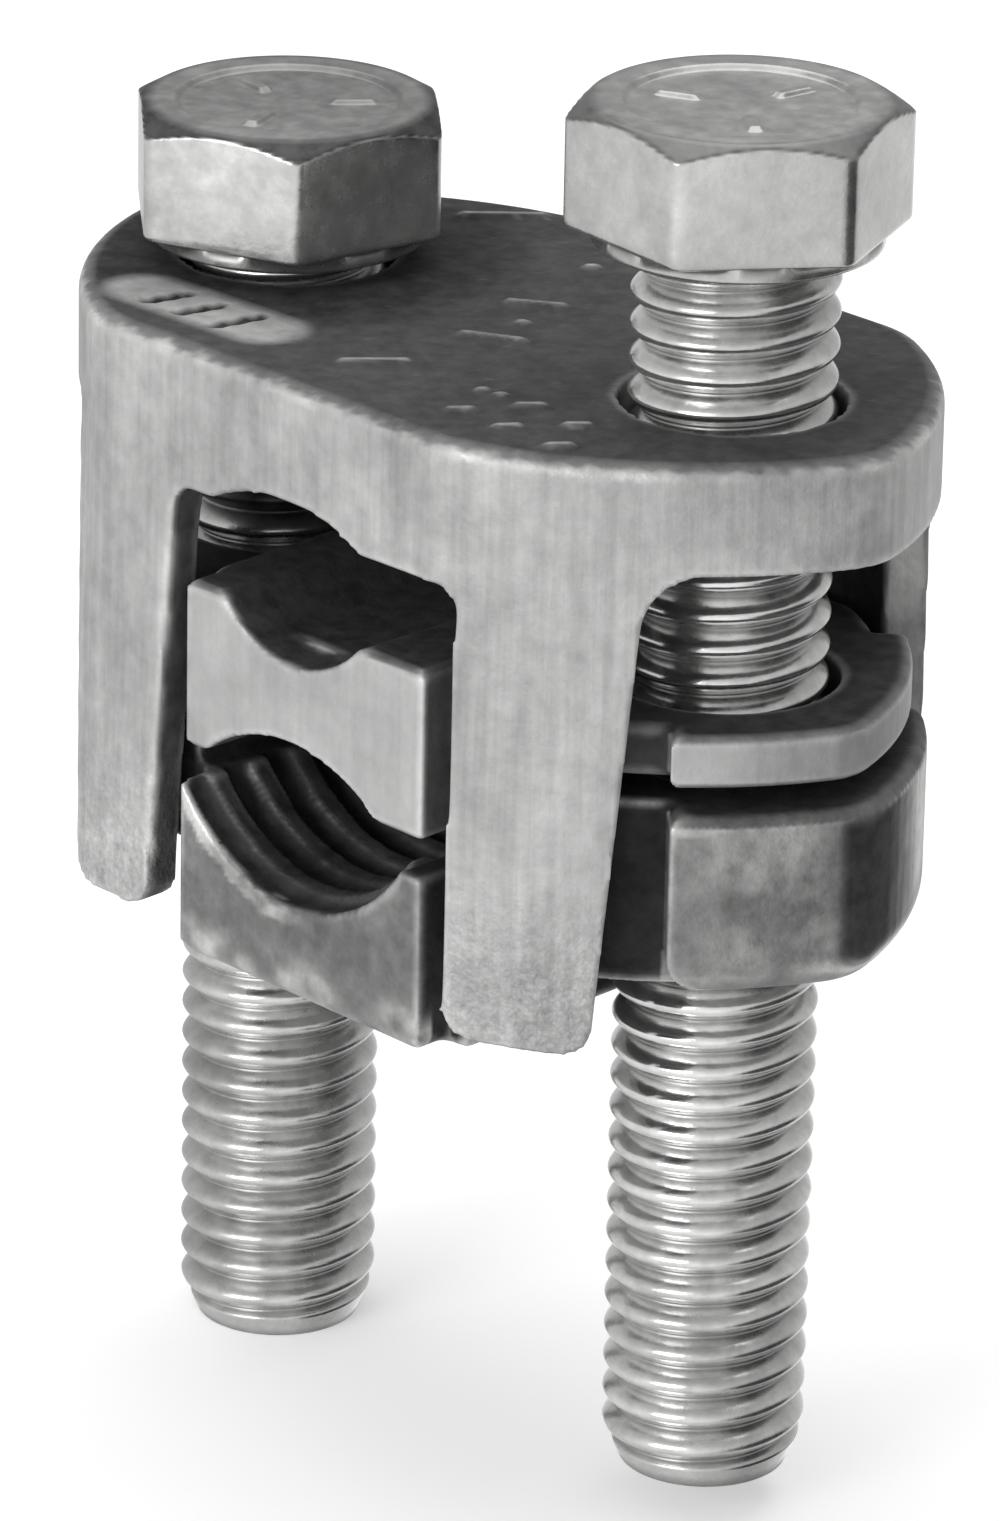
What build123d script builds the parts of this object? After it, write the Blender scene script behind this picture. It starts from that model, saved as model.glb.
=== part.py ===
from build123d import *
import math
import os

os.makedirs("parts", exist_ok=True)

# Parallel groove clamp for two conductors, one above the other.
# Millimetres, +Z up.  The origin is on the axis of the upper conductor, midway
# between the two screws.  The screws stand at +X and -X and the conductor
# grooves run along Y, turned by a small angle.  The castings look the same
# after half a turn about Z, so each feature is made once and turned to give
# its partner.

# --- screws: 3/8-16 hexagon head, threaded up to the head -------------------
SCREW_DIAMETER = 9.525
THREAD_DEPTH = 0.97
HEAD_ACROSS_FLATS = 13.8
HEAD_HEIGHT = 5.7
HEAD_CHAMFER_ANGLE = 30.0
WASHER_FACE_DIAMETER = 13.2
WASHER_FACE_HEIGHT = 0.8
HEAD_DISH_DEPTH = 0.25
HEAD_DISH_DIAMETER = 10.4
HEAD_EDGE_RADIUS = 0.25
POINT_LENGTH = 1.9
LEFT_SCREW_LENGTH = 56.0
RIGHT_SCREW_LENGTH = 60.5
LEFT_HEAD_RAISE = 1.7
RIGHT_HEAD_RAISE = 8.2
LEFT_HEAD_TURN = 18.4
RIGHT_HEAD_TURN = 51.9
SCREW_SPACING = 28.4

# --- body casting -----------------------------------------------------------
HALF_WIDTH = 13.9
END_REACH = 10.1
NOSE_OFFSET = 1.0
CREASE_FROM_SCREW = 5.2
SHOULDER_FROM_SCREW = 1.0
SHOULDER_DROP = 0.9
FRONT_BULGE = 2.5
REAR_BULGE = 2.1
NOSE_RADIUS = 4.0
SHOULDER_RADIUS = 5.0
CREASE_RADIUS = 0.8
RIM_THICKNESS = 5.2
LAND_DEPTH = 6.8
LAND_HALF_LENGTH = 9.4
BODY_HEIGHT = 28.1
LEG_THICKNESS = 2.0
LEG_DRAFT = 1.5
SCREW_HOLE_DIAMETER = 10.3
WINDOW_LEFT = 8.0
WINDOW_RIGHT = 10.3
WINDOW_LEFT_DRAFT = 3.6
WINDOW_CORNER_RADIUS = 1.2
FACE_ANGLE = 44.0
SIDE_EDGE = 6.4
SIDE_DRAFT = 5.2
SIDE_STOP = 3.9
SIDE_STOP_DRAFT = 6.0
SIDE_CORNER_RADIUS = 2.8
LEG_TIP_RADIUS = 1.4
TOP_EDGE_RADIUS = 0.8

# --- conductors, as far as the clamp stands open for them -------------------
UPPER_CONDUCTOR_DIAMETER = 8.0
LOWER_CONDUCTOR_DIAMETER = 7.5

# --- conductor grooves: radius of each, and depth below its lands -----------
GROOVE_ANGLE = 2.5
BODY_GROOVE_RADIUS = 11.0
BODY_GROOVE_DEPTH = 1.2
SPACER_TOP_GROOVE_RADIUS = 5.9
SPACER_TOP_GROOVE_DEPTH = 2.2
SPACER_LOWER_GROOVE_RADIUS = 9.0
SPACER_LOWER_GROOVE_DEPTH = 2.2
KEEPER_GROOVE_RADIUS = 8.9
KEEPER_GROOVE_DEPTH = 4.0
RIDGE_HEIGHT = 0.5
RIDGE_WIDTH = 1.2
RIDGE_PITCH = 2.5
RIDGE_COUNT = 10

# --- spacer -----------------------------------------------------------------
SPACER_THICKNESS = 8.2
EAR_BELOW_LAND = 1.7
EAR_THICKNESS = 2.5
BLOCK_LEFT = 7.6
BLOCK_RIGHT = 8.3
SPACER_HOLE_DIAMETER = 10.6
SPACER_EDGE_BREAK = 0.3

# --- keeper -----------------------------------------------------------------
EAR_GAP = 1.1
BOSS_HEIGHT = 8.9
BOSS_TOP_BREAK = 0.4
BOSS_BOTTOM_RADIUS = 2.2
KEEPER_LEFT = 8.0
KEEPER_BLOCK_HEIGHT = 8.6
KEEPER_EDGE_BREAK = 0.5
BLOCK_OVERLAP = 1.0

# --- clearances -------------------------------------------------------------
THREAD_CLEARANCE = 0.06
LEG_CLEARANCE = 0.5
FACE_SETBACK = 0.4
EAR_SETBACK = 1.0
BOSS_SETBACK = 0.2
TONGUE_GAP = 1.3

HALF_SPACING = SCREW_SPACING / 2
BODY_LAND = UPPER_CONDUCTOR_DIAMETER / 2 - BODY_GROOVE_DEPTH
TOP = BODY_LAND + LAND_DEPTH
RIM_UNDERSIDE = TOP - RIM_THICKNESS
LEG_TIP = TOP - BODY_HEIGHT
SPACER_TOP = SPACER_TOP_GROOVE_DEPTH - UPPER_CONDUCTOR_DIAMETER / 2
SPACER_BOTTOM = SPACER_TOP - SPACER_THICKNESS
EAR_TOP = SPACER_TOP - EAR_BELOW_LAND
EAR_BOTTOM = EAR_TOP - EAR_THICKNESS
BOSS_TOP = EAR_BOTTOM - EAR_GAP
BOSS_BOTTOM = BOSS_TOP - BOSS_HEIGHT
SPACER_LOWER_CROWN = SPACER_BOTTOM + SPACER_LOWER_GROOVE_DEPTH
RIDGE_CREST = SPACER_LOWER_CROWN - LOWER_CONDUCTOR_DIAMETER
KEEPER_CROWN = RIDGE_CREST - RIDGE_HEIGHT
KEEPER_TOP = KEEPER_CROWN + KEEPER_GROOVE_DEPTH
KEEPER_BOTTOM = KEEPER_TOP - KEEPER_BLOCK_HEIGHT
FAR = 4 * (HALF_SPACING + END_REACH)


def pair(shape):
    """The shape together with its partner half a turn about Z."""
    return shape + Rot(0, 0, 180) * shape


def outline(inset=0.0):
    """Plan of the body casting: two bulged faces at each end, two long faces."""
    crease = Vector(HALF_SPACING - CREASE_FROM_SCREW, -HALF_WIDTH)
    nose = Vector(HALF_SPACING + END_REACH, -NOSE_OFFSET)
    shoulder = Vector(HALF_SPACING - SHOULDER_FROM_SCREW, HALF_WIDTH - SHOULDER_DROP)
    half = [
        SagittaArc(crease, nose, -FRONT_BULGE),
        SagittaArc(nose, shoulder, -REAR_BULGE),
        Line(shoulder, -crease),
    ]
    face = make_face(half + [Rot(0, 0, 180) * edge for edge in half])
    for corner, radius in ((crease, CREASE_RADIUS), (nose, NOSE_RADIUS), (shoulder, SHOULDER_RADIUS)):
        near = [face.vertices().sort_by_distance(point)[0] for point in (corner, -corner)]
        face = fillet(near, radius)
    if inset:
        face = offset(face, -inset)
    return face


def prism(face, top, bottom):
    """A plan face made solid between two heights."""
    return extrude(Pos(0, 0, bottom) * face, top - bottom)


def flared(face):
    """The skirt that the legs are cut from, drafted outwards to its foot."""
    return Pos(0, 0, RIM_UNDERSIDE) * extrude(face, LEG_TIP - RIM_UNDERSIDE, taper=-LEG_DRAFT)


def groove(radius, crown, opens_down):
    """A long round bar along the conductor; crown is its highest or lowest line."""
    centre = crown - radius if opens_down else crown + radius
    bar = Rot(90, 0, 0) * Cylinder(radius, FAR)
    return Rot(0, 0, -GROOVE_ANGLE) * (Pos(0, 0, centre) * bar)


def hole(diameter, side):
    """A vertical bore through everything on one screw axis."""
    return Pos(side * HALF_SPACING, 0, 0) * Cylinder(diameter / 2, FAR)


def holes(diameter):
    return hole(diameter, 1) + hole(diameter, -1)


def front_window():
    """Opening for the conductors in the long front face, with drafted leg edge."""
    drift = math.tan(math.radians(WINDOW_LEFT_DRAFT)) * (BODY_LAND - LEG_TIP)
    profile = Polyline(
        (-WINDOW_LEFT, BODY_LAND),
        (WINDOW_RIGHT, BODY_LAND),
        (WINDOW_RIGHT, LEG_TIP),
        (-WINDOW_LEFT - drift, LEG_TIP),
        close=True,
    )
    face = make_face(Plane.XZ * profile)
    top_corners = face.vertices().group_by(Axis.Z)[-1]
    face = fillet(top_corners, WINDOW_CORNER_RADIUS)
    return extrude(face, HALF_WIDTH * 2, dir=(0, -1, 0))


def side_window():
    """Opening beside a screw, square to the bulged face, drafted on both legs."""
    fall = RIM_UNDERSIDE - LEG_TIP
    drift = math.tan(math.radians(SIDE_DRAFT)) * fall
    profile = Polyline(
        (SIDE_EDGE, RIM_UNDERSIDE),
        (FAR, RIM_UNDERSIDE),
        (FAR, LEG_TIP),
        (SIDE_EDGE - drift, LEG_TIP),
        close=True,
    )
    face = make_face(Plane.XZ * profile)
    corner = face.vertices().group_by(Axis.Z)[-1].sort_by(Axis.X)[0]
    face = fillet(corner, SIDE_CORNER_RADIUS)
    cut = Pos(0, -SIDE_STOP, 0) * extrude(face, FAR, dir=(0, -1, 0))
    wedge = Plane.YZ * make_face(Polyline(
        (-SIDE_STOP, RIM_UNDERSIDE),
        (-SIDE_STOP + math.tan(math.radians(SIDE_STOP_DRAFT)) * fall, LEG_TIP),
        (-SIDE_STOP, LEG_TIP),
        close=True,
    ))
    cut += Pos(HALF_SPACING, 0, 0) * extrude(wedge, FAR, dir=(1, 0, 0))
    return Rot(0, 0, FACE_ANGLE) * cut


def body_casting():
    """Top plate with four legs left standing between the windows."""
    solid = prism(outline(), TOP, RIM_UNDERSIDE) + flared(outline())
    cavity = flared(outline(LEG_THICKNESS))
    block = prism(Rectangle(2 * LAND_HALF_LENGTH, FAR), TOP, BODY_LAND)
    solid -= cavity - block
    solid -= pair(front_window())
    solid -= pair(side_window())
    above_land = prism(Rectangle(FAR, FAR), TOP, BODY_LAND)
    solid -= groove(BODY_GROOVE_RADIUS, BODY_LAND + BODY_GROOVE_DEPTH, True) & above_land
    tips = solid.edges().group_by(Axis.Z)[0]
    tips = tips.filter_by(GeomType.LINE).filter_by(lambda edge: abs(edge.tangent_at(0).X) < 0.9)
    solid = fillet(tips, LEG_TIP_RADIUS)
    rim = solid.faces().sort_by(Axis.Z)[-1].edges()
    solid = fillet(rim, TOP_EDGE_RADIUS)
    return solid - holes(SCREW_HOLE_DIAMETER)


def inner_plan():
    """What fits inside the legs."""
    return outline(LEG_THICKNESS + LEG_CLEARANCE)


def front_tongue(left, right, setback):
    """Plan of the part that fills the front window, up to the long face."""
    box = Pos((right - left) / 2, -HALF_WIDTH) * Rectangle(left + right, 2 * HALF_WIDTH)
    return box & outline(setback)


def side_tongue(setback, gap):
    """Plan of the ear that fills the window beside a screw."""
    length = FAR
    depth = FAR
    edge = SIDE_EDGE + gap
    box = Pos(edge + length / 2, -SIDE_STOP - LEG_CLEARANCE - depth / 2) * Rectangle(length, depth)
    return (Rot(0, 0, FACE_ANGLE) * box) & outline(setback)


def broken_edges(solid, size):
    """The solid with its highest and lowest edges chamfered."""
    solid = chamfer(solid.edges().group_by(Axis.Z)[-1], size)
    return chamfer(solid.edges().group_by(Axis.Z)[0], size)


def spacer():
    """Grooved block between the conductors, with a thin ear round each screw."""
    block_plan = inner_plan() & Rectangle(BLOCK_LEFT + BLOCK_RIGHT, FAR)
    block_plan += pair(front_tongue(BLOCK_LEFT, BLOCK_RIGHT, FACE_SETBACK))
    ear_plan = inner_plan() + pair(side_tongue(EAR_SETBACK, TONGUE_GAP))
    solid = prism(block_plan, SPACER_TOP, SPACER_BOTTOM)
    solid -= groove(SPACER_TOP_GROOVE_RADIUS, SPACER_TOP - SPACER_TOP_GROOVE_DEPTH, False)
    solid -= groove(SPACER_LOWER_GROOVE_RADIUS, SPACER_LOWER_CROWN, True)
    solid = broken_edges(solid, SPACER_EDGE_BREAK)
    ears = prism(ear_plan, EAR_TOP, EAR_BOTTOM) - prism(block_plan, EAR_TOP, EAR_BOTTOM)
    ears = broken_edges(ears, SPACER_EDGE_BREAK)
    ears += prism(ear_plan & block_plan, EAR_TOP, EAR_BOTTOM)
    return solid + ears - holes(SPACER_HOLE_DIAMETER)


def boss():
    """Outer part of a tapped boss, its lower edges well rounded."""
    plan = side_tongue(BOSS_SETBACK, TONGUE_GAP)
    outer = prism(plan, BOSS_TOP, BOSS_BOTTOM)
    outer = fillet(outer.edges().group_by(Axis.Z)[0], BOSS_BOTTOM_RADIUS)
    return chamfer(outer.edges().group_by(Axis.Z)[-1], BOSS_TOP_BREAK)


def keeper():
    """Lower jaw: a ridged groove between two tapped bosses."""
    ends = inner_plan() - Rectangle(2 * LAND_HALF_LENGTH - BLOCK_OVERLAP, FAR)
    tongue = prism(front_tongue(KEEPER_LEFT, BLOCK_RIGHT, FACE_SETBACK), KEEPER_TOP, KEEPER_BOTTOM)
    tongue = chamfer(tongue.edges().group_by(Axis.Z)[0], KEEPER_EDGE_BREAK)
    middle = inner_plan() & Rectangle(2 * LAND_HALF_LENGTH, FAR)
    solid = prism(middle, KEEPER_TOP, KEEPER_BOTTOM) + pair(tongue)
    solid += prism(ends, BOSS_TOP, BOSS_BOTTOM)
    solid += pair(boss())
    solid -= groove(KEEPER_GROOVE_RADIUS - RIDGE_HEIGHT, RIDGE_CREST, False)
    valley = RIDGE_PITCH - RIDGE_WIDTH
    ring = Rot(90, 0, 0) * Cylinder(KEEPER_GROOVE_RADIUS, valley)
    cut = Pos(0, 0, KEEPER_CROWN + KEEPER_GROOVE_RADIUS) * ring
    for step in range(RIDGE_COUNT + 1):
        along = (step - RIDGE_COUNT / 2) * RIDGE_PITCH
        solid -= Rot(0, 0, -GROOVE_ANGLE) * (Pos(0, along, 0) * cut)
    return solid - holes(SCREW_DIAMETER + 2 * THREAD_CLEARANCE)


def round_bar(diameter, height):
    """An upright bar standing on its origin, or hanging from it if height is negative."""
    side = Align.MIN if height > 0 else Align.MAX
    return Cylinder(diameter / 2, abs(height), align=(Align.CENTER, Align.CENTER, side))


def screw_head(turn):
    """Hexagon with its top corners chamfered and a shallow dish in its top."""
    corner = HEAD_ACROSS_FLATS / math.sqrt(3)
    cut_width = corner - HEAD_ACROSS_FLATS / 2 + HEAD_EDGE_RADIUS
    cut_height = cut_width * math.tan(math.radians(HEAD_CHAMFER_ANGLE))
    hexagon = extrude(RegularPolygon(corner, 6), HEAD_HEIGHT)
    crown = round_bar(2 * corner, HEAD_HEIGHT)
    crown = chamfer(crown.edges().group_by(Axis.Z)[-1], cut_height, cut_width)
    dish_radius = HEAD_DISH_DIAMETER / 2
    dish = Cone(dish_radius - HEAD_DISH_DEPTH, dish_radius + HEAD_DISH_DEPTH, 2 * HEAD_DISH_DEPTH)
    return Rot(0, 0, turn) * (hexagon & crown) - Pos(0, 0, HEAD_HEIGHT) * dish


def screw(side, length, raised, turn):
    """Hexagon screw: head, washer face and a shank with a chamfered point."""
    face = round_bar(WASHER_FACE_DIAMETER, -WASHER_FACE_HEIGHT)
    shank = round_bar(SCREW_DIAMETER, -length)
    shank = chamfer(shank.edges().group_by(Axis.Z)[0], POINT_LENGTH, THREAD_DEPTH)
    return Pos(side * HALF_SPACING, 0, TOP + raised) * (screw_head(turn) + face + shank)


export_step(body_casting(), "parts/body_casting.step")
export_step(spacer(), "parts/spacer.step")
export_step(keeper(), "parts/keeper.step")
export_step(screw(-1, LEFT_SCREW_LENGTH, LEFT_HEAD_RAISE, LEFT_HEAD_TURN), "parts/left_screw.step")
export_step(screw(1, RIGHT_SCREW_LENGTH, RIGHT_HEAD_RAISE, RIGHT_HEAD_TURN), "parts/right_screw.step")
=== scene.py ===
import bmesh
import bpy
import math
import numpy as np
from mathutils import Matrix, Vector


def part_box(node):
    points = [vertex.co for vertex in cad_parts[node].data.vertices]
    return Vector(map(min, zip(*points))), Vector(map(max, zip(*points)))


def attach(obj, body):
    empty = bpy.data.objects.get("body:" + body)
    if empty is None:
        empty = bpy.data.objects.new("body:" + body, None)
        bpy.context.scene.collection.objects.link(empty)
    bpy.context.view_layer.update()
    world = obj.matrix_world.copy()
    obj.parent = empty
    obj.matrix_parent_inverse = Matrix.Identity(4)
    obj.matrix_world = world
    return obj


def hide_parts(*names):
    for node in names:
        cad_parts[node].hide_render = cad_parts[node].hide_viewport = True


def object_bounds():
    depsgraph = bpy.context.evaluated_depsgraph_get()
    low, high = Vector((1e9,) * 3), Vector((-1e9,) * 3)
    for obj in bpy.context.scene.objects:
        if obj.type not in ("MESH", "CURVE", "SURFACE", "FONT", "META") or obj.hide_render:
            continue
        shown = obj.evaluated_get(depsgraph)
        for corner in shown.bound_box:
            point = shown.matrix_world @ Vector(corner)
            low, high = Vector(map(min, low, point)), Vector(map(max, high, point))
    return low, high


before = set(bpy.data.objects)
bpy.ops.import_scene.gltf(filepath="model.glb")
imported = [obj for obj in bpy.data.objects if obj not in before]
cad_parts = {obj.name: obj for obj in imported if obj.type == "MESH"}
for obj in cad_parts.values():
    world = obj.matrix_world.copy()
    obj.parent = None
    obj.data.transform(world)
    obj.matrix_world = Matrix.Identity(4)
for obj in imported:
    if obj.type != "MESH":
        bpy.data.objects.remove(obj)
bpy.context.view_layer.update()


# ---------------------------------------------------------------------------
# Body casting: the top plate with its four legs, cast in one piece and tumbled,
# so every edge is a little rounded. The outside carries fine upright scratches
# from the trimming die, and the feet of the legs are grainier.
# ---------------------------------------------------------------------------

# The screws stand this far from the middle, and the bulged end faces are turned
# this far round from the sides.
screw_offset = 0.0142
end_turn = math.radians(44)


def group_socket(tree, name, direction, kind, default=None):
    """One named input or output on a group."""
    made = tree.interface.new_socket(name, in_out=direction, socket_type="NodeSocket" + kind)
    if default is not None:
        made.default_value = default
    return made


def wire(tree, source, target):
    """One link between two sockets."""
    tree.links.new(source, target)


def node(tree, kind, place=(0, 0), **settings):
    """One node, with its properties and its unlinked inputs set by name."""
    made = tree.nodes.new("ShaderNode" + kind if not kind.startswith("NodeGroup") else kind)
    made.location = (place[0] * 200, -place[1] * 180)
    for key, value in settings.items():
        if hasattr(made, key):
            setattr(made, key, value)
        else:
            made.inputs[key.replace("_", " ")].default_value = value
    return made


def math_node(tree, operation, first, second, place=(0, 0), clamp=False):
    """One sum on sockets or plain numbers."""
    made = node(tree, "Math", place, operation=operation, use_clamp=clamp)
    for slot_index, value in enumerate((first, second)):
        if isinstance(value, (int, float)):
            made.inputs[slot_index].default_value = value
        else:
            wire(tree, value, made.inputs[slot_index])
    return made.outputs[0]


def noise(tree, coordinates, scale, detail, roughness, place, stretch=(1, 1, 1)):
    """Noise on object coordinates; stretch squeezes the pattern along each axis."""
    mapping = node(tree, "Mapping", place)
    mapping.inputs["Scale"].default_value = stretch
    wire(tree, coordinates, mapping.inputs["Vector"])
    made = node(tree, "TexNoise", (place[0] + 1, place[1]))
    made.inputs["Scale"].default_value = scale
    made.inputs["Detail"].default_value = detail
    made.inputs["Roughness"].default_value = roughness
    wire(tree, mapping.outputs[0], made.inputs["Vector"])
    return made.outputs["Fac"]


def ramp(tree, value, stops, place):
    """Greys or colours between stops given as (position, grey or colour)."""
    made = node(tree, "ValToRGB", place)
    elements = made.color_ramp.elements
    while len(elements) < len(stops):
        elements.new(0.5)
    for element, (position, tone) in zip(elements, stops):
        element.position = position
        element.color = (tone, tone, tone, 1) if isinstance(tone, (int, float)) else tuple(tone) + (1,)
    wire(tree, value, made.inputs[0])
    return made.outputs[0]


def blend_colour(tree, kind, factor, first, second, place):
    """Two colours mixed; factor may be a socket or a number."""
    made = node(tree, "Mix", place, data_type="RGBA", blend_type=kind)
    for name, value in (("Factor", factor), ("A", first), ("B", second)):
        target = {"Factor": made.inputs[0], "A": made.inputs[6], "B": made.inputs[7]}[name]
        if isinstance(value, bpy.types.NodeSocket):
            wire(tree, value, target)
        elif isinstance(value, (int, float)) and name != "Factor":
            target.default_value = (value, value, value, 1)
        elif isinstance(value, (int, float)):
            target.default_value = value
        else:
            target.default_value = tuple(value) + (1,)
    return made.outputs[2]


def cast_skin_group():
    """Colour, roughness and height of a tumbled casting.

    Height is three kinds of noise added up: pebbles, fine grain and upright streaks.
    The colour is the base tone, lighter on worn edges and where light is painted,
    darker in corners and wherever shade is painted, mottled by the slow waves, and
    streaked upright on walls by noise squeezed along Z."""
    tree = bpy.data.node_groups.new("cast skin", "ShaderNodeTree")
    for name, kind, default in (
        ("Base", "Color", (0.5, 0.5, 0.5, 1)), ("Worn_and_lit", "Color", (0.8, 0.8, 0.8, 1)),
        ("Dirt_and_shade", "Color", (0.05, 0.05, 0.05, 1)), ("Edge", "Float", 0.0), ("Hollow", "Float", 0.0),
        ("Mottle", "Float", 0.3), ("Streaks", "Float", 0.3), ("Grain", "Float", 0.5), ("Roughness", "Float", 0.5),
    ):
        group_socket(tree, name, "INPUT", kind, default)
    for name, kind in (("Colour", "Color"), ("Roughness", "Float"), ("Height", "Float")):
        group_socket(tree, name, "OUTPUT", kind)
    start = node(tree, "NodeGroupInput", (-8, 0))
    end = node(tree, "NodeGroupOutput", (6, 0))
    place = node(tree, "TexCoord", (-8, 3)).outputs["Object"]
    waves = noise(tree, place, 150, 3, 0.5, (-6, 0))
    pebbles = noise(tree, place, 900, 3, 0.6, (-6, 2))
    grains = noise(tree, place, 3200, 2, 0.6, (-6, 4))
    streaks = noise(tree, place, 1500, 3, 0.6, (-6, 6), (1, 1, 0.05))
    tone = ramp(tree, waves, ((0.3, 0.55), (0.7, 1.25)), (-3, 0))
    fine = ramp(tree, pebbles, ((0.3, 0.72), (0.7, 1.2)), (-3, 2))
    lines = ramp(tree, streaks, ((0.3, 0.6), (0.7, 1.3)), (-3, 6))
    colour = blend_colour(tree, "MULTIPLY", start.outputs["Mottle"], start.outputs["Base"], tone, (-1, 0))
    colour = blend_colour(tree, "MULTIPLY", start.outputs["Mottle"], colour, fine, (0, 0))
    colour = blend_colour(tree, "MULTIPLY", start.outputs["Streaks"], colour, lines, (1, 0))
    specks = ramp(tree, grains, ((0.35, 0.62), (0.65, 1.4)), (-3, 4))
    speckled = math_node(tree, "MULTIPLY", start.outputs["Grain"], 0.1, (0, 2), True)
    colour = blend_colour(tree, "MULTIPLY", speckled, colour, specks, (1, 1))
    patches = ramp(tree, waves, ((0.38, 0.25), (0.62, 1.6)), (-3, 3))
    broken = math_node(tree, "MULTIPLY", pebbles, patches, (-1, 3))
    edge = math_node(tree, "MULTIPLY", start.outputs["Edge"], broken, (0, 3), True)
    # The worn colour also paints light, and the dirt colour paints shade as well as dirt, wherever the masks put
    # them.
    colour = blend_colour(tree, "MIX", edge, colour, start.outputs["Worn_and_lit"], (2, 0))
    pitted = ramp(tree, pebbles, ((0.35, 0.55), (0.66, 1.7)), (1, 4))
    dark_colour = blend_colour(tree, "MULTIPLY", 1.0, start.outputs["Dirt_and_shade"], pitted, (2, 3))
    colour = blend_colour(tree, "MIX", start.outputs["Hollow"], colour, dark_colour, (3, 0))
    wire(tree, colour, end.inputs["Colour"])
    rough = math_node(tree, "MULTIPLY", pebbles, 0.3, (0, 5))
    rough = math_node(tree, "ADD", rough, start.outputs["Roughness"], (1, 5))
    rough = math_node(tree, "SUBTRACT", rough, math_node(tree, "MULTIPLY", edge, 0.15, (1, 6)), (2, 5))
    dull = math_node(tree, "MULTIPLY", start.outputs["Hollow"], 0.35, (2, 6))
    rough = math_node(tree, "ADD", rough, dull, (3, 5), True)
    wire(tree, rough, end.inputs["Roughness"])
    height = math_node(tree, "ADD", math_node(tree, "MULTIPLY", pebbles, start.outputs["Grain"], (0, 7)),
                       math_node(tree, "MULTIPLY", grains, 0.25, (0, 8)), (1, 7))
    scratches = math_node(tree, "MULTIPLY", streaks, start.outputs["Streaks"], (1, 8))
    height = math_node(tree, "ADD", height, scratches, (2, 7))
    wire(tree, height, end.inputs["Height"])
    return tree


cast_skin = cast_skin_group()


def cast_material(name, values, metallic, bump_distance, strength=0.8, layers=("Edge", "Hollow", "Grain")):
    """A piece's own material: the cast skin with its values and masks, under one shader."""
    made = bpy.data.materials.new(name)
    made.use_nodes = True
    tree = made.node_tree
    tree.nodes.clear()
    skin = tree.nodes.new("ShaderNodeGroup")
    skin.node_tree = cast_skin
    skin.location = (-400, 0)
    for key, value in values.items():
        skin.inputs[key].default_value = value
    for row, key in enumerate(layers):
        mask = node(tree, "Attribute", (-4, row), attribute_name=key.lower())
        wire(tree, mask.outputs["Fac"], skin.inputs[key])
    bump = node(tree, "Bump", (-1, 2), Strength=strength, Distance=bump_distance)
    wire(tree, skin.outputs["Height"], bump.inputs["Height"])
    shader = node(tree, "BsdfPrincipled", (1, 0), Metallic=metallic)
    wire(tree, skin.outputs["Colour"], shader.inputs["Base Color"])
    wire(tree, skin.outputs["Roughness"], shader.inputs["Roughness"])
    wire(tree, bump.outputs["Normal"], shader.inputs["Normal"])
    out = node(tree, "OutputMaterial", (3, 0))
    wire(tree, shader.outputs["BSDF"], out.inputs["Surface"])
    return made


def read_vectors(mesh, kind):
    """The places (co) or normals (normal) of all vertices as one array."""
    flat = np.empty(len(mesh.vertices) * 3)
    mesh.vertices.foreach_get(kind, flat)
    return flat.reshape(-1, 3)


def fade(values, start, width):
    """0 up to start, 1 past start plus width; a negative width fades the other way."""
    return np.clip((values - start) / width, 0, 1)


def write_masks(mesh, masks):
    """Each mask as a point attribute, which the materials read by its name."""
    for layer, values in masks.items():
        attribute = mesh.attributes.new(layer, "FLOAT", "POINT")
        attribute.data.foreach_set("value", values.astype(np.float32))
    mesh.polygons.foreach_set("use_smooth", np.ones(len(mesh.polygons), dtype=bool))


def neighbour_mean(values, ends, count):
    """Each vertex gets the mean of what its neighbours along edges carry."""
    total = np.zeros_like(values)
    np.add.at(total, ends[:, 0], values[ends[:, 1]])
    np.add.at(total, ends[:, 1], values[ends[:, 0]])
    share = np.bincount(ends.ravel(), minlength=count).astype(float)
    share[share == 0] = 1
    return total / (share[:, None] if values.ndim == 2 else share)


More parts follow.
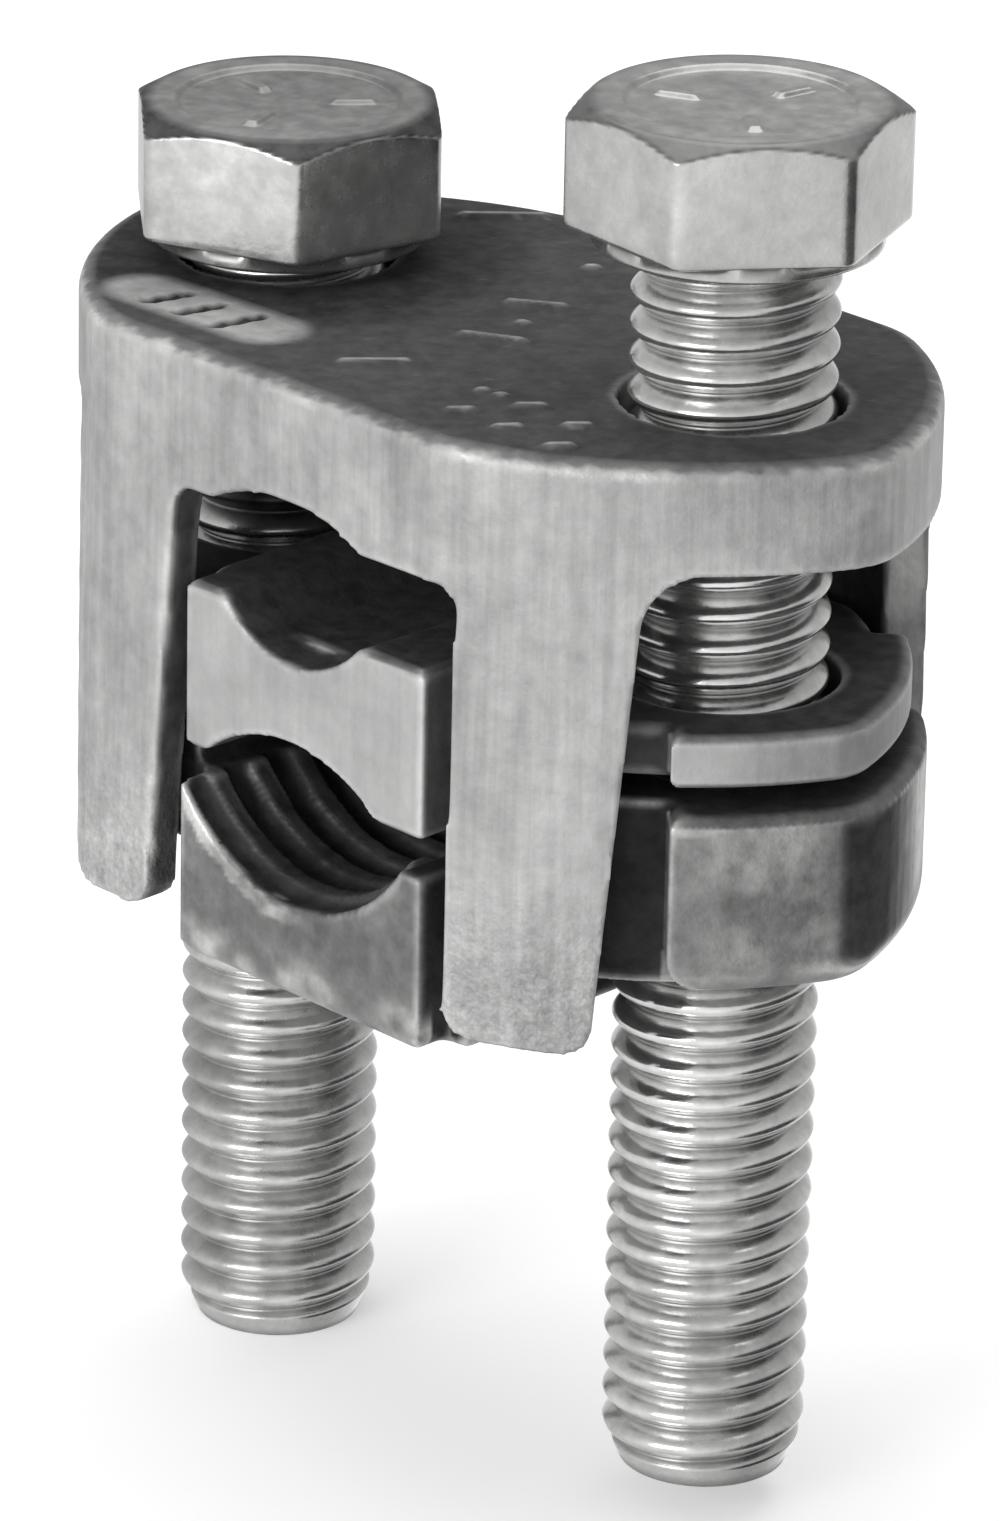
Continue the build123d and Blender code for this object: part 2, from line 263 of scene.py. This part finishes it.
def rounded_casting(node_name, piece_name, body, voxel, passes, coarse, tone_masks, relief=None):
    """A copy of a CAD casting, remeshed evenly and smoothed so that its edges round off.

    Each smoothing pass moves every point part of the way to the mean of its
    neighbours. The sum of those moves along the normal is the curvature: outward
    bends give the edge mask and inward bends give the hollow mask, which paints
    shade into them. Coarse is the grain above and at the foot. Relief moves points
    of the finished surface, and the tone function says where it is darkened, mostly
    as painted shade, and where it is brightened by wear and by painted light."""
    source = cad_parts[node_name]
    mesh = source.data.copy()
    mesh.name = piece_name
    work = bmesh.new()
    work.from_mesh(mesh)
    bmesh.ops.remove_doubles(work, verts=work.verts, dist=2e-6)
    work.to_mesh(mesh)
    work.free()
    piece = bpy.data.objects.new(piece_name, mesh)
    bpy.context.scene.collection.objects.link(piece)
    remesh = piece.modifiers.new("even", "REMESH")
    remesh.mode = "VOXEL"
    remesh.voxel_size = voxel
    remesh.adaptivity = 0
    graph = bpy.context.evaluated_depsgraph_get()
    even = bpy.data.meshes.new_from_object(piece.evaluated_get(graph))
    piece.modifiers.clear()
    piece.data = even
    even.name = piece_name
    even.materials.clear()
    places = read_vectors(even, "co")
    ends = np.empty(len(even.edges) * 2, dtype=np.int64)
    even.edges.foreach_get("vertices", ends)
    ends = ends.reshape(-1, 2)
    count = len(places)
    for step in range(passes):
        places = places + 0.5 * (neighbour_mean(places, ends, count) - places)
    low, high = (np.array(corner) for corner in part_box(node_name))
    places = np.clip(places, low, high)
    if relief is not None:
        places = relief(places, high)
    even.vertices.foreach_set("co", places.ravel())
    even.update()
    normals = read_vectors(even, "normal")
    wide = places.copy()
    for step in range(8):
        wide = wide + 0.6 * (neighbour_mean(wide, ends, count) - wide)
    bend = ((places - wide) * normals).sum(axis=1) / voxel
    bend = neighbour_mean(bend, ends, count)
    edge = fade(bend, 0.10, 0.35)
    # Inward bends are darkened: painted shade in creases.
    hollow = 0.8 * fade(-bend, 0.08, 0.4)
    # The piece's own darkening, mostly painted shade, and its brightening, by wear and by painted light.
    darkening, wear_and_light = tone_masks(places, normals, high)
    edge = np.maximum(edge, wear_and_light)
    hollow = np.maximum(hollow, darkening * (1 - 0.75 * edge))
    foot = fade(places[:, 2], low[2] + 0.0085, -0.006)
    write_masks(even, {"edge": edge, "hollow": hollow, "grain": coarse[0] + (coarse[1] - coarse[0]) * foot})
    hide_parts(node_name)
    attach(piece, body)
    return piece


def plate_marks(places, high):
    """Casting marks on the top plate, with no lettering: raised bars and sunk ones.

    Each mark is a capsule from one point to another, in millimetres. A point of
    the top rises or sinks by a smooth step of its distance to the nearest one."""
    raised = np.array([
        (-0.9, -9.6, 1.0, -7.5), (0.1, -2.8, 2.6, -1.6),
        (-1.6, 2.0, 0.5, 3.3), (-12.1, 9.6, -9.4, 12.3), (-2.6, 8.2, -2.4, 8.5),
        (6.1, -7.9, 6.3, -7.7), (7.1, -7.8, 7.3, -7.6), (7.0, -10.7, 7.6, -10.0),
        (8.7, -8.1, 9.4, -7.3), (10.0, -10.8, 10.6, -10.1), (12.0, -8.4, 12.6, -7.7),
        (13.3, -10.9, 13.9, -10.2), (0.8, 0.2, 1.0, 0.3)])
    sunk = np.array([
        (-13.2, -9.9, -12.7, -8.0), (-11.0, -10.0, -10.5, -8.1), (-8.6, -10.1, -8.1, -7.8)])
    top = places[:, 2] > high[2] - 0.00008
    flat = places[top][None, :, :2]
    shift = np.zeros(top.sum())
    for capsules, height in ((raised / 1000, 0.00022), (sunk / 1000, -0.00025)):
        first = capsules[:, None, :2]
        along = capsules[:, None, 2:] - first
        share = np.clip(((flat - first) * along).sum(-1) / (along ** 2).sum(-1), 0, 1)
        distance = np.linalg.norm(flat - first - share[..., None] * along, axis=-1).min(axis=0)
        step = fade(distance, 0.0005, -0.00035)
        shift += height * step * step * (3 - 2 * step)
    places = places.copy()
    places[top, 2] += shift
    return places


def inward(places, normals):
    """How far each point faces the screws' plane or, past them, the screw axes."""
    out = places[:, :2].copy()
    out[:, 0] -= np.clip(out[:, 0], -screw_offset, screw_offset)
    length = np.maximum(np.linalg.norm(out, axis=1), 1e-6)
    return -(normals[:, :2] * out).sum(axis=1) / length


def ragged(places, size):
    """Uneven waves from -1 to 1: products of sines whose lengths don't divide."""
    x, y, z = (places / size).T
    first = np.sin(1.0 * x + 1.7 * np.sin(0.7 * z)) * np.sin(1.3 * y + 0.9 * z + 0.4)
    second = np.sin(2.3 * x - 1.1 * y + 2.0) * np.sin(2.9 * z + 1.9 * y)
    return 0.6 * first + 0.4 * second


def square_to_end(vectors, side):
    """The parts of vectors along the bulged end face and out of it, on either side."""
    x, y = vectors[:, 0] * side, vectors[:, 1] * side
    along = x * math.cos(end_turn) + y * math.sin(end_turn)
    return along, x * math.sin(end_turn) - y * math.cos(end_turn)


def body_tone_masks(places, normals, high):
    """Darker on the top plate up to its rounded rim, and painted shade inside the legs,
    underneath and on the side cuts of the windows.

    A patch of the plate and its rim are rubbed bright, the end cuts of the rear legs
    are painted bright as if lit, and a painted shadow of the left head darkens the
    plate round the left screw."""
    x, y, z = places.T
    side = np.sign(x)
    upward = fade(normals[:, 2] + 0.25 * ragged(places, 0.0004), 0.5, 0.3)
    near_top = fade(z, high[2] - 0.0009, 0.0004)
    # End cuts of the rear legs: painted bright as if lit, and kept out of the painted shade.
    end_cut = fade(square_to_end(normals, side)[1], 0.85, 0.1) * (y * side > 0.006) * (z < 0.0046)
    within = fade(inward(places, normals), 0.3, 0.3) * (1 - end_cut)
    side_cut = fade(np.abs(normals[:, 0]), 0.6, 0.2) * (np.abs(x) < 0.0165) * (z < 0.0028)
    under = fade(-normals[:, 2], 0.4, 0.3)
    along = fade(x, -0.0146, 0.0080)
    off = np.hypot(x + 0.0146 - 0.0080 * along, y + 0.0089)
    sunken = fade(z, high[2] - 0.00004, -0.0001)
    rubbed = fade(off, 0.0023, -0.0010) * near_top * (1 - sunken)
    # Painted shadow of the left head: the plate darker round the left screw.
    head_shadow = fade(np.hypot(x + screw_offset, y), 0.0125, -0.003)
    # The plate's upward faces near the top are darker, less on the rubbed patch.
    dark_top = (0.88 + 0.1 * head_shadow) * upward * near_top * (1 - 0.85 * rubbed)
    # Painted shade inside the legs, underneath and on the windows' side cuts.
    painted_shade = 0.95 * np.maximum.reduce([within, under, 0.9 * side_cut])
    rim = fade(np.abs(normals[:, 2] - 0.35), 0.3, -0.3) * near_top * fade(ragged(places, 0.0009), -0.35, 1)
    # Wear on the rubbed patch and the rim, and painted light on the end cuts.
    wear_and_light = np.maximum.reduce([0.35 * rubbed * upward, 0.8 * end_cut, 1.8 * rim])
    return np.maximum(dark_top, painted_shade), wear_and_light


body_metal = cast_material(
    "cast body grey",
    {"Base": (0.44, 0.44, 0.437, 1), "Worn_and_lit": (0.68, 0.68, 0.67, 1), "Dirt_and_shade": (0.03, 0.03, 0.03, 1),
     "Mottle": 0.5, "Streaks": 0.35, "Roughness": 0.4},
    0.4, 0.00014)
body_piece = rounded_casting("body_casting", "legged_body", "body", 0.00024, 1, (0.5, 3.4), body_tone_masks, plate_marks)
body_piece.data.materials.append(body_metal)


# ---------------------------------------------------------------------------
# Spacer: the loose grooved block between the conductors, with a thin ear round
# each screw. Cast like the body, with its end faces sheared smooth and light.
# ---------------------------------------------------------------------------

def recessed(places):
    """The walls that stand back behind the legs: neither block end nor ear."""
    side = np.sign(places[:, 0])
    along, out = square_to_end(places, side)
    ear = (along > 0.0076) & (out > 0.0043)
    return (places[:, 0] * side > 0.0085) & ~ear


spacer_metal = cast_material(
    "cast spacer grey",
    {"Base": (0.46, 0.46, 0.457, 1), "Worn_and_lit": (0.74, 0.74, 0.73, 1), "Dirt_and_shade": (0.04, 0.04, 0.04, 1),
     "Mottle": 0.3, "Streaks": 0.15, "Roughness": 0.4},
    0.4, 0.00014)


def spacer_shade(places, normals, high):
    """Painted shade in both grooves, on the flats that face up or down, on the sides and on the walls that stand
    back behind the legs.
    """
    reach, sideways = np.abs(places[:, 0]), np.abs(normals[:, 0])
    level = fade(np.abs(normals[:, 2]), 0.35, 0.3)
    within = fade(inward(places, normals), 0.3, 0.3)
    flank = 0.8 * fade(sideways, 0.75, 0.15) * (reach < 0.0095)
    end = 0.4 * fade(sideways, 0.75, 0.2) * (reach > 0.0105)
    # Every darkening here is painted shade.
    dark = 0.94 * np.maximum.reduce([level, within, flank, end, 0.97 * recessed(places)])
    return dark, np.zeros(len(places))


spacer_piece = rounded_casting("spacer", "grooved_spacer", "spacer", 0.00018, 1, (0.4, 0.4), spacer_shade)
spacer_piece.data.materials.append(spacer_metal)


# ---------------------------------------------------------------------------
# Keeper: the lower jaw, cast of a darker metal, with a ridged groove that bites
# the conductor and a tapped boss for each screw. Its edges are worn bright.
# ---------------------------------------------------------------------------

keeper_metal = cast_material(
    "cast keeper grey",
    {"Base": (0.22, 0.22, 0.218, 1), "Worn_and_lit": (0.66, 0.66, 0.65, 1), "Dirt_and_shade": (0.02, 0.02, 0.02, 1),
     "Mottle": 1.0, "Streaks": 0.15, "Roughness": 0.32},
    0.4, 0.00016)


def keeper_shade_and_wear(places, normals, high):
    """Painted shade in the groove, on the sides and on the walls that stand back;
    bright wear on the bosses and the groove's lip, and painted light on the boss fronts.

    Reach is the distance to the groove's axis. Wear on the lip and along the
    block's foot is uneven, and the walls that stand back stay in painted shade."""
    x, y, z = places.T
    sideways = np.abs(normals[:, 0])
    upward = fade(normals[:, 2], 0.15, 0.3)
    boss = fade(np.abs(x), 0.0094, 0.0004)
    block = np.abs(x) < 0.0105
    flank = np.where(block, fade(sideways, 0.5, 0.4), fade(sideways, 0.85, 0.1))
    wall = recessed(places)
    # Painted shade in the groove, on the sides and on the walls that stand back.
    dark = np.maximum.reduce([0.9 * upward, flank * np.where(block, 0.93, 0.9), 0.95 * wall])
    reach = np.hypot(x, z + 0.0069)
    crest = 0.35 * fade(reach, 0.00866, -0.0002) * upward
    face = boss * (1 - flank) * (1 - upward)
    # Painted light on the boss fronts, brighter where they turn sideways.
    front = (0.05 + 0.7 * fade(sideways, 0.72, 0.08)) * face
    brim = 1.1 * face * fade(z, high[2] - 0.0009, 0.0004)
    under = 0.5 * boss * fade(np.abs(normals[:, 2] + 0.45), 0.3, -0.3)
    outer = np.abs(y) > 0.0126
    off_lip = np.abs(reach - 0.0095 - 0.0003 * ragged(places, 0.0007))
    lip = 2.4 * outer * fade(off_lip, 0.0005, -0.0002) * fade(300 * x * np.sign(y), -0.5, 1)
    foot = 1.3 * outer * (1 - boss) * fade(z, -0.0180, -0.0012) * fade(ragged(places, 0.0011), -0.4, 1)
    wear_and_light = np.maximum.reduce([under, front, crest, brim, lip, foot])
    return dark, np.where(wall, 0, wear_and_light)


keeper_piece = rounded_casting("keeper", "ridged_keeper", "keeper", 0.00022, 1, (0.6, 0.9), keeper_shade_and_wear)
keeper_piece.data.materials.append(keeper_metal)


# ---------------------------------------------------------------------------
# Screws: 3/8-16 hexagon head cap screws of plated steel with rolled threads.
# The head is forged: soft corners, a chamfered crown with a shallow dish, and
# a washer face under it. The left one is driven nearly home.
# ---------------------------------------------------------------------------

screw_radius = 0.0047625
thread_pitch = 0.0015875
thread_depth = 0.00082
washer_radius = 0.0066
washer_height = 0.0008
head_height = 0.0057
flat_radius = 0.0069
point_length = 0.0019
skin_gap = 0.00002
around_thread = 96
across_thread = 16
around_head = 288
screw_metal = cast_material(
    "plated screw steel",
    {"Base": (0.72, 0.72, 0.71, 1), "Worn_and_lit": (0.95, 0.95, 0.94, 1), "Dirt_and_shade": (0.05, 0.05, 0.05, 1),
     "Mottle": 0.5, "Streaks": 0.0, "Grain": 0.4, "Roughness": 0.1},
    0.95, 0.00005, 0.6, ("Edge", "Hollow"))


def thread_profile(share):
    """Depth below the crest across one pitch: a broad rolled crest and a narrow root.

    The distance to the crest as a share of half a pitch, raised to a power."""
    return np.abs(2 * share - 1) ** 1.7


def thread_surface(centre, top, bottom):
    """A helical sheet wrapped round the axis.

    Column i stands at angle 2 pi i / n. Row j of that column is at the height
    pitch * (j / m + i / n), so the rows run along the helix, and the radius
    depends on the row alone. Heights are held between top and bottom, and a
    cone holds the radius in at the point."""
    turns = int(math.ceil((top - bottom) / thread_pitch)) + 2
    rows = turns * across_thread + 1
    column = np.arange(around_thread)
    row = np.arange(rows)
    angle = 2 * np.pi * column / around_thread
    turned = row[None, :] / across_thread + column[:, None] / around_thread
    height = bottom + thread_pitch * (turned - 1)
    depth = thread_profile((row % across_thread) / across_thread)[None, :] * thread_depth
    held = np.clip(height, bottom, top)
    cone = thread_depth * fade(held, bottom + point_length, -point_length)
    depth = np.where(height <= bottom, thread_depth, np.maximum(depth, cone))
    radius = screw_radius - depth - skin_gap
    points = np.stack([
        centre + radius * np.cos(angle)[:, None],
        radius * np.sin(angle)[:, None],
        held,
    ], axis=-1).reshape(-1, 3)
    index = np.arange(around_thread * rows).reshape(around_thread, rows)
    inner = np.stack([index[:-1, :-1], index[1:, :-1], index[1:, 1:], index[:-1, 1:]], axis=-1).reshape(-1, 4)
    last, first = index[-1], index[0]
    seam = np.stack([
        last[:rows - 1 - across_thread], first[across_thread:rows - 1],
        first[across_thread + 1:], last[1:rows - across_thread],
    ], axis=-1)
    return points, np.concatenate([inner, seam])


def soft_least(first, second, sharpness):
    """The lesser of two lengths, blended softly where they are nearly equal."""
    return -np.log(np.exp(-first * sharpness) + np.exp(-second * sharpness)) / sharpness


def head_surface(centre, under, turn):
    """The head as rings of points: washer face, hexagon sides, crown and dish.

    The reach of the hexagon at an angle is flat_radius over the cosine of the
    angle to the nearest flat, and each crown ring is the lesser of that reach
    and a cone at 30 degrees, blended softly so that the edges are round. Three
    plain radial bars stand in the dish."""
    share_round = np.arange(around_head) / around_head
    angle = 2 * np.pi * share_round + turn
    off_flat = (share_round * 6 + 0.5) % 1 - 0.5
    hexagon = flat_radius / np.cos(off_flat * np.pi / 3)
    corner = flat_radius / math.cos(math.pi / 6)
    hexagon = soft_least(hexagon, corner - 0.00012, 20000)
    base = under + washer_height
    top = base + head_height
    rings = [
        (0.0030, under), (washer_radius - 0.0002, under), (washer_radius - 0.00005, under + 0.00006),
        (washer_radius, under + 0.0002), (washer_radius, base - 0.00004),
        (hexagon - 0.0004, base), (hexagon - 0.00012, base + 0.00002),
        (hexagon - 0.00003, base + 0.0001), (hexagon, base + 0.00025)]
    for height in np.linspace(base + 0.0005, top, 44):
        cone = flat_radius - 0.00025 + (top - height) / math.tan(math.radians(30))
        rings.append((np.minimum(soft_least(hexagon, cone, 30000), hexagon), height))
    inner = rings[-1][0].min()
    dish = np.concatenate([np.linspace(0.985, 0.86, 12), np.linspace(0.85, 0.70, 24), np.linspace(0.69, 0.05, 30)])
    for share in dish:
        slope = fade(share, 0.81, -0.06)
        sink = 0.00025 * slope * slope * (3 - 2 * slope)
        off_bar = np.abs((np.degrees(angle - turn) + 60) % 120 - 60) * np.pi / 180 * inner * share
        bar = fade(off_bar, 0.00042, -0.0002) * fade(share, 0.28, 0.04) * fade(share, 0.62, -0.04)
        rings.append((inner * share, top - sink + 0.0002 * bar))
    points = np.concatenate([
        np.stack([centre + reach * np.cos(angle), reach * np.sin(angle), height + 0 * angle], axis=-1)
        for reach, height in rings])
    index = np.arange(len(rings) * around_head).reshape(len(rings), around_head)
    beside = np.roll(index, -1, axis=1)
    faces = np.stack([index[:-1], beside[:-1], beside[1:], index[1:]], axis=-1).reshape(-1, 4)
    return points, faces, index[-1]


def screw_piece(node_name, piece_name, body, turn_degrees, cap_and_shank_shade):
    """Thread sheet and head rings in one closed mesh, with its masks of wear and painted shade.

    The crown is darker on both screws; the last argument adds painted shade to the
    crown and to the shank, most where the casting hides it, and the thread roots
    are darkened as painted shade."""
    low, high = (np.array(corner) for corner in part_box(node_name))
    centre = math.copysign(screw_offset, low[0] + high[0])
    under = float(high[2]) - head_height - washer_height
    thread_points, thread_faces = thread_surface(centre, under + 0.0003, float(low[2]))
    head_points, head_faces, rim = head_surface(centre, under, math.radians(turn_degrees))
    shift = len(thread_points)
    points = np.concatenate([thread_points, head_points])
    faces = np.concatenate([thread_faces, head_faces + shift])
    mesh = bpy.data.meshes.new(piece_name)
    mesh.from_pydata(points.tolist(), [], faces.tolist() + [(rim + shift).tolist()])
    work = bmesh.new()
    work.from_mesh(mesh)
    bmesh.ops.remove_doubles(work, verts=work.verts, dist=1e-6)
    bmesh.ops.dissolve_degenerate(work, edges=work.edges, dist=1e-6)
    bmesh.ops.holes_fill(work, edges=[edge for edge in work.edges if edge.is_boundary], sides=0)
    bmesh.ops.recalc_face_normals(work, faces=work.faces)
    work.to_mesh(mesh)
    work.free()
    places = read_vectors(mesh, "co")
    height = places[:, 2]
    away = np.hypot(places[:, 0] - centre, places[:, 1])
    shank = height < under - 1e-5
    sunk = np.clip((screw_radius - away) / thread_depth, 0, 1)
    chamfered = fade(away, flat_radius * 0.9, 0.0006)
    # Darker crown; on the left screw it carries painted shade.
    crown = fade(read_vectors(mesh, "normal")[:, 2], 0.2, 0.25)
    crown = crown * (0.34 + 0.36 * cap_and_shank_shade * fade(away, 0.02, -0.02) + 0.40 * chamfered)
    # Painted shade in the thread roots.
    hollow = np.where(shank, 0.5 * fade(sunk, 0.72, 0.28), crown)
    # Painted shade on the left shank where the casting hides it.
    inside = fade(height, -0.0030, 0.001) * fade(height, 0.0075, -0.001)
    hollow = np.maximum(hollow, cap_and_shank_shade * np.where(shank, np.maximum(inside, 0.2), 0))
    write_masks(mesh, {"edge": np.where(shank, 0.9 * fade(sunk, 0.9, -0.9), 0), "hollow": hollow})
    piece = bpy.data.objects.new(piece_name, mesh)
    bpy.context.scene.collection.objects.link(piece)
    mesh.materials.append(screw_metal)
    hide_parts(node_name)
    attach(piece, body)
    return piece


left_screw_piece = screw_piece("left_screw", "left_cap_screw", "left_screw", 48.4, 0.9)
right_screw_piece = screw_piece("right_screw", "right_cap_screw", "right_screw", 81.9, 0.0)


# ---------------------------------------------------------------------------
# Floor, light and camera: a pale floor under a white room, a broad soft light
# at the front left, and a long lens that looks down on the clamp from in front.
# ---------------------------------------------------------------------------

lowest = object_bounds()[0][2]
floor_mesh = bpy.data.meshes.new("floor")
floor_reach = 3.0
corners = ((-1, -1), (1, -1), (1, 1), (-1, 1))
floor_mesh.from_pydata([(x * floor_reach, y * floor_reach, lowest) for x, y in corners], [], [(0, 1, 2, 3)])
floor = bpy.data.objects.new("floor", floor_mesh)
bpy.context.scene.collection.objects.link(floor)
floor_paint = bpy.data.materials.new("pale floor")
floor_paint.use_nodes = True
floor_shader = floor_paint.node_tree.nodes["Principled BSDF"]
floor_shader.inputs["Base Color"].default_value = (0.93, 0.93, 0.93, 1)
floor_shader.inputs["Roughness"].default_value = 0.9
floor_shader.inputs["Emission Color"].default_value = (1, 1, 1, 1)
floor_shader.inputs["Emission Strength"].default_value = 0.3
floor_shader.inputs["Specular IOR Level"].default_value = 0.1
floor_mesh.materials.append(floor_paint)
floor.visible_glossy = False
floor.visible_shadow = False

view_turn = math.radians(-43.83)
view_drop = math.radians(21.66)
view_roll = math.radians(1.13)
across = Vector((math.cos(view_turn), -math.sin(view_turn), 0))
away = Vector((math.sin(view_turn), math.cos(view_turn), 0))
up = away * math.sin(view_drop) + Vector((0, 0, math.cos(view_drop)))
forward = away * math.cos(view_drop) - Vector((0, 0, math.sin(view_drop)))
right_vector = across * math.cos(view_roll) + up * math.sin(view_roll)
up_vector = up * math.cos(view_roll) - across * math.sin(view_roll)

world = bpy.data.worlds.new("room")
bpy.context.scene.world = world
world.use_nodes = True
room = world.node_tree
direction = node(room, "TexCoord", (-6, 0)).outputs["Generated"]


def glow(toward, spread, strength, row):
    """A soft patch of the room: the cosine to its middle, raised to a power."""
    dot = room.nodes.new("ShaderNodeVectorMath")
    dot.operation = "DOT_PRODUCT"
    dot.location = (-800, -200 * row)
    dot.inputs[1].default_value = Vector(toward).normalized()
    wire(room, direction, dot.inputs[0])
    held = math_node(room, "MAXIMUM", dot.outputs["Value"], 0.0, (-3, row))
    shaped = math_node(room, "POWER", held, spread, (-2, row))
    return math_node(room, "MULTIPLY", shaped, strength, (-1, row))


# Each lobe is a direction, how narrow it is and its strength. The dark ones take
# light away, and the even light of the room is added after them.
down = Vector((0, 0, -1))
lobes = (
    (-away * 0.60 - across * 0.80 + down * 0.25, 1.5, 0.22),
    (-away + down * 0.35, 3.0, 0.22),
    (-away * 0.375 + across * 0.927 + down * 0.40, 10.0, -3.0),
    (away * 0.98 + across * 0.20 + down * 0.5, 14.0, 0.6),
    (away * 0.3 - down * 0.9, 2.0, -0.35))
total = 0.0
for row, (toward, spread, strength) in enumerate(lobes):
    total = math_node(room, "ADD", total, glow(toward, spread, strength, row), (row, 0))
total = math_node(room, "ADD", total, 0.60, (len(lobes), 0))
total = math_node(room, "MAXIMUM", total, 0.02, (len(lobes) + 1, 0))
wire(room, total, room.nodes["Background"].inputs["Strength"])
room.nodes["Background"].inputs["Color"].default_value = (1, 1, 1, 1)


def area_light(name, from_direction, distance, width, height, power):
    """A soft rectangular light aimed at the middle of the clamp."""
    lamp = bpy.data.lights.new(name, "AREA")
    lamp.shape = "RECTANGLE"
    lamp.size = width
    lamp.size_y = height
    lamp.energy = power
    holder = bpy.data.objects.new(name, lamp)
    bpy.context.scene.collection.objects.link(holder)
    aim = Vector((0, 0, -0.010))
    direction = Vector(from_direction).normalized()
    holder.location = aim + direction * distance
    holder.rotation_euler = (-direction).to_track_quat("-Z", "Y").to_euler()
    return holder


area_light("overhead", away * 0.25 + Vector((0, 0, 1)), 0.8, 0.9, 0.9, 4.0)
area_light("key", -away * 0.8 - across * 0.75 + Vector((0, 0, 0.3)), 0.6, 0.3, 0.3, 1.2)

plate_point = Vector((-0.0142, 0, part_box("body_casting")[1][2]))
camera_data = bpy.data.cameras.new("camera")
camera = bpy.data.objects.new("camera", camera_data)
bpy.context.scene.collection.objects.link(camera)
# The camera stands off the left screw's place on the plate, so that the clamp fills the frame.
camera.location = plate_point + right_vector * 0.00993 + up_vector * -0.02394 - forward * 0.411
axes = Matrix((right_vector, up_vector, -forward)).transposed()
camera.rotation_euler = axes.to_euler()
camera_data.sensor_width = 36
camera_data.lens = 207.9
camera_data.clip_start = 0.01
bpy.context.scene.camera = camera
bpy.context.scene.view_settings.view_transform = "Standard"
